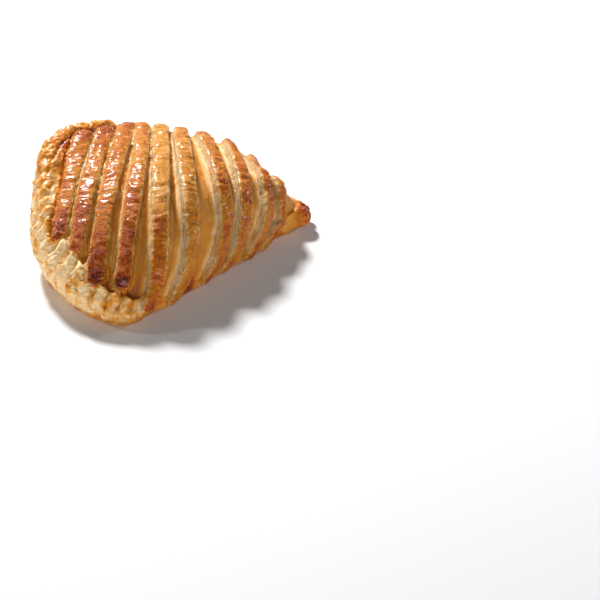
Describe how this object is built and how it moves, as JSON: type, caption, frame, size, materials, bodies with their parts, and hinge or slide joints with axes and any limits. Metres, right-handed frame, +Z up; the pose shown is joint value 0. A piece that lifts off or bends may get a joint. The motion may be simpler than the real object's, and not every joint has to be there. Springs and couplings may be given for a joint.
{
  "type": "turnover pastry",
  "caption": "Half-round puff pastry turnover with a pointed tip: slashed, glazed bands curve over a puffed body, above a fluted wall of cut layers along the sealed edge.",
  "frame": {"origin": "middle of the flat base, under the centre of the bounding box", "axes": "+Z up; +X along the folded side, towards the pointed tip; +Y towards the sealed, fluted edge"},
  "size_m": [0.1388, 0.1098, 0.0474],
  "materials": {
    "crust": "golden, layered puff pastry crust with an egg-wash glaze on the bands"
  },
  "bodies": {
    "root": {"turnover": "crust"}
  },
  "joints": []
}
